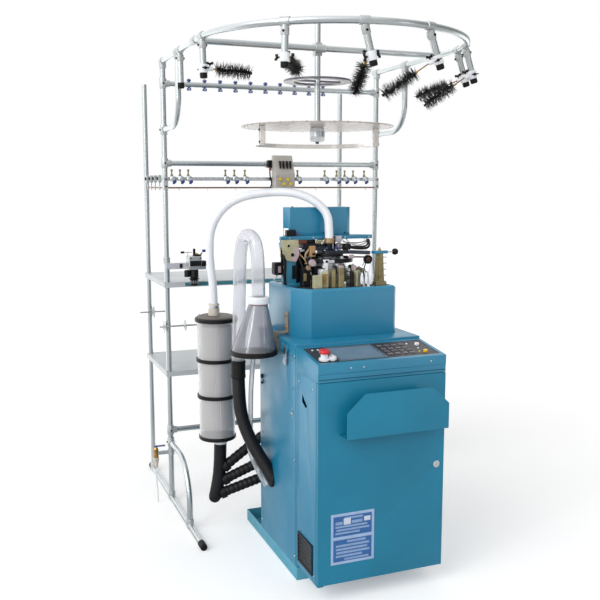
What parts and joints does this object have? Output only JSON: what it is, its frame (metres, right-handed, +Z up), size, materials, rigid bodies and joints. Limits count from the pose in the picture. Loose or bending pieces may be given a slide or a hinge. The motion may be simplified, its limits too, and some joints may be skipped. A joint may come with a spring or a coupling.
{
  "type": "circular sock knitting machine",
  "caption": "Floor-standing circular sock knitting machine: sheet-steel body with sloped control console, slotted needle cylinder head, tube creel with top ring, yarn brushes and suction hoses.",
  "frame": {"origin": "On the floor, straight below the axis of the needle cylinder, in the plane of the base tray's flat underside.", "axes": "+Z up along the needle cylinder's axis; +Y to the back, toward the creel; +X to the right of someone facing the control console."},
  "size_m": [1.1998, 1.731, 2.16],
  "materials": {
    "teal_paint": "satin",
    "pale_teal_paint": "satin",
    "cream_paint": "satin",
    "white_paint": "satin",
    "galvanised": "satin",
    "steel": "satin",
    "cast_iron": "matte",
    "brass": "satin",
    "black_plastic": "matte",
    "black_rubber": "matte",
    "white_plastic": "gloss",
    "red_plastic": "gloss",
    "blue_plastic": "gloss",
    "clear_plastic": "gloss",
    "dark_panel": "matte"
  },
  "bodies": {
    "frame": {"base_tray": "teal_paint", "main_cabinet": "teal_paint", "pedestal_cover": "teal_paint", "bed_plate": "steel", "control_cabinet": "teal_paint", "console_top": "teal_paint", "console_insert": "dark_panel", "display_panel": "dark_panel", "fan_grille": "black_plastic", "drive_motor": "cast_iron", "drive_belt": "black_rubber", "cam_ring": "steel", "selector_blocks": "black_plastic", "left_column": "teal_paint", "hinge_bracket": "cream_paint", "right_bracket": "cream_paint", "creel_posts": "galvanised", "creel_rails": "galvanised", "corner_stays": "galvanised", "ring_tube": "galvanised", "tube_caps": "black_rubber", "ring_hangers": "galvanised", "brushes": "black_plastic", "yarn_guides": "blue_plastic", "shelves": "white_paint", "disc_tube": "galvanised", "yarn_discs": "clear_plastic", "stop_box": "white_paint", "feeder_body": "white_paint", "spool_discs": "clear_plastic", "air_valve": "brass", "canister_body": "clear_plastic", "canister_rings": "black_plastic", "suction_hose": "white_plastic", "clear_tubes": "clear_plastic", "body_hose": "black_rubber", "outlet_hose": "black_rubber", "catch_cone": "clear_plastic", "cone_mount": "black_plastic", "blower": "cast_iron"},
    "cylinder": {"needle_cylinder": "steel"},
    "motor_wheel": {"motor_pulley": "steel"},
    "head": {"head_plate": "teal_paint", "head_cover": "teal_paint", "dial_arm": "steel"},
    "dial_body": {"dial": "steel"},
    "finger_a": {"yarn_finger_1": "steel"},
    "finger_b": {"yarn_finger_2": "steel"},
    "finger_c": {"yarn_finger_3": "steel"},
    "door": {"cabinet_door": "teal_paint", "document_tray": "pale_teal_paint"},
    "lock": {"door_lock": "steel"},
    "stop_head": {"estop_button": "red_plastic"},
    "selector": {"selector_knob": "white_plastic"},
    "jog": {"jog_button": "white_plastic"},
    "start": {"start_button": "white_plastic"},
    "latch": {"body_latch": "steel"},
    "lever": {"lock_lever": "teal_paint"},
    "feed_wheel": {"feeder_wheel": "white_plastic"},
    "valve_handle": {"valve_lever": "blue_plastic"}
  },
  "joints": [
    {"name": "cylinder_spin", "type": "hinge", "parent": "frame", "child": "cylinder", "pos_m": [0, 0, 1.05], "axis": [0, 0, 1], "continuous": true},
    {"name": "motor_spin", "type": "hinge", "parent": "frame", "child": "motor_wheel", "pos_m": [0.15, 0.01, 1.02], "axis": [0, 0, 1], "continuous": true},
    {"name": "head_lift", "type": "hinge", "parent": "frame", "child": "head", "pos_m": [-0.184, 0.035, 1.258], "axis": [0, -1, 0], "range_deg": [0, 40], "deforming": ["suction_hose"]},
    {"name": "dial_spin", "type": "hinge", "parent": "head", "child": "dial_body", "pos_m": [0, 0, 1.22], "axis": [0, 0, 1], "continuous": true},
    {"name": "finger_a_lift", "type": "hinge", "parent": "head", "child": "finger_a", "pos_m": [-0.104, -0.012, 1.236], "axis": [0, -1, 0], "range_deg": [0, 12]},
    {"name": "finger_b_lift", "type": "hinge", "parent": "head", "child": "finger_b", "pos_m": [-0.104, 0, 1.236], "axis": [0, -1, 0], "range_deg": [0, 12]},
    {"name": "finger_c_lift", "type": "hinge", "parent": "head", "child": "finger_c", "pos_m": [-0.104, 0.012, 1.236], "axis": [0, -1, 0], "range_deg": [0, 12]},
    {"name": "door_swing", "type": "hinge", "parent": "frame", "child": "door", "pos_m": [-0.248, -0.491, 0.44], "axis": [0, 0, -1], "range_deg": [0, 110]},
    {"name": "lock_turn", "type": "hinge", "parent": "door", "child": "lock", "pos_m": [0.221, -0.49, 0.47], "axis": [0, 1, 0], "range_deg": [0, 90]},
    {"name": "stop_push", "type": "slide", "parent": "frame", "child": "stop_head", "axis": [0, 0.1306, -0.9914], "range_m": [0, 0.004], "stiffness_N_per_m": 800},
    {"name": "selector_turn", "type": "hinge", "parent": "frame", "child": "selector", "pos_m": [-0.184, -0.45734, 0.88622], "axis": [0, -0.1306, 0.9914], "range_deg": [-45, 45]},
    {"name": "jog_push", "type": "slide", "parent": "frame", "child": "jog", "axis": [0, 0.1306, -0.9914], "range_m": [0, 0.004], "stiffness_N_per_m": 300},
    {"name": "start_push", "type": "slide", "parent": "frame", "child": "start", "axis": [0, 0.1306, -0.9914], "range_m": [0, 0.004], "stiffness_N_per_m": 300},
    {"name": "latch_swing", "type": "hinge", "parent": "frame", "child": "latch", "pos_m": [-0.2625, -0.196, 0.894], "axis": [0, 1, 0], "range_deg": [0, 80]},
    {"name": "lever_turn", "type": "hinge", "parent": "frame", "child": "lever", "pos_m": [0.166, -0.12, 1.23], "axis": [0, 0, 1], "range_deg": [0, 60]},
    {"name": "feed_wheel_spin", "type": "hinge", "parent": "frame", "child": "feed_wheel", "pos_m": [-0.402, 0.634, 1.05], "axis": [0, 0, 1], "continuous": true},
    {"name": "valve_turn", "type": "hinge", "parent": "frame", "child": "valve_handle", "pos_m": [-0.59, 0.68, 0.275], "axis": [0, 0, 1], "range_deg": [0, 90]}
  ],
  "couplings": [
    {"joint": "motor_spin", "follows": "cylinder_spin", "ratio": 2},
    {"joint": "dial_spin", "follows": "cylinder_spin", "ratio": 1}
  ]
}
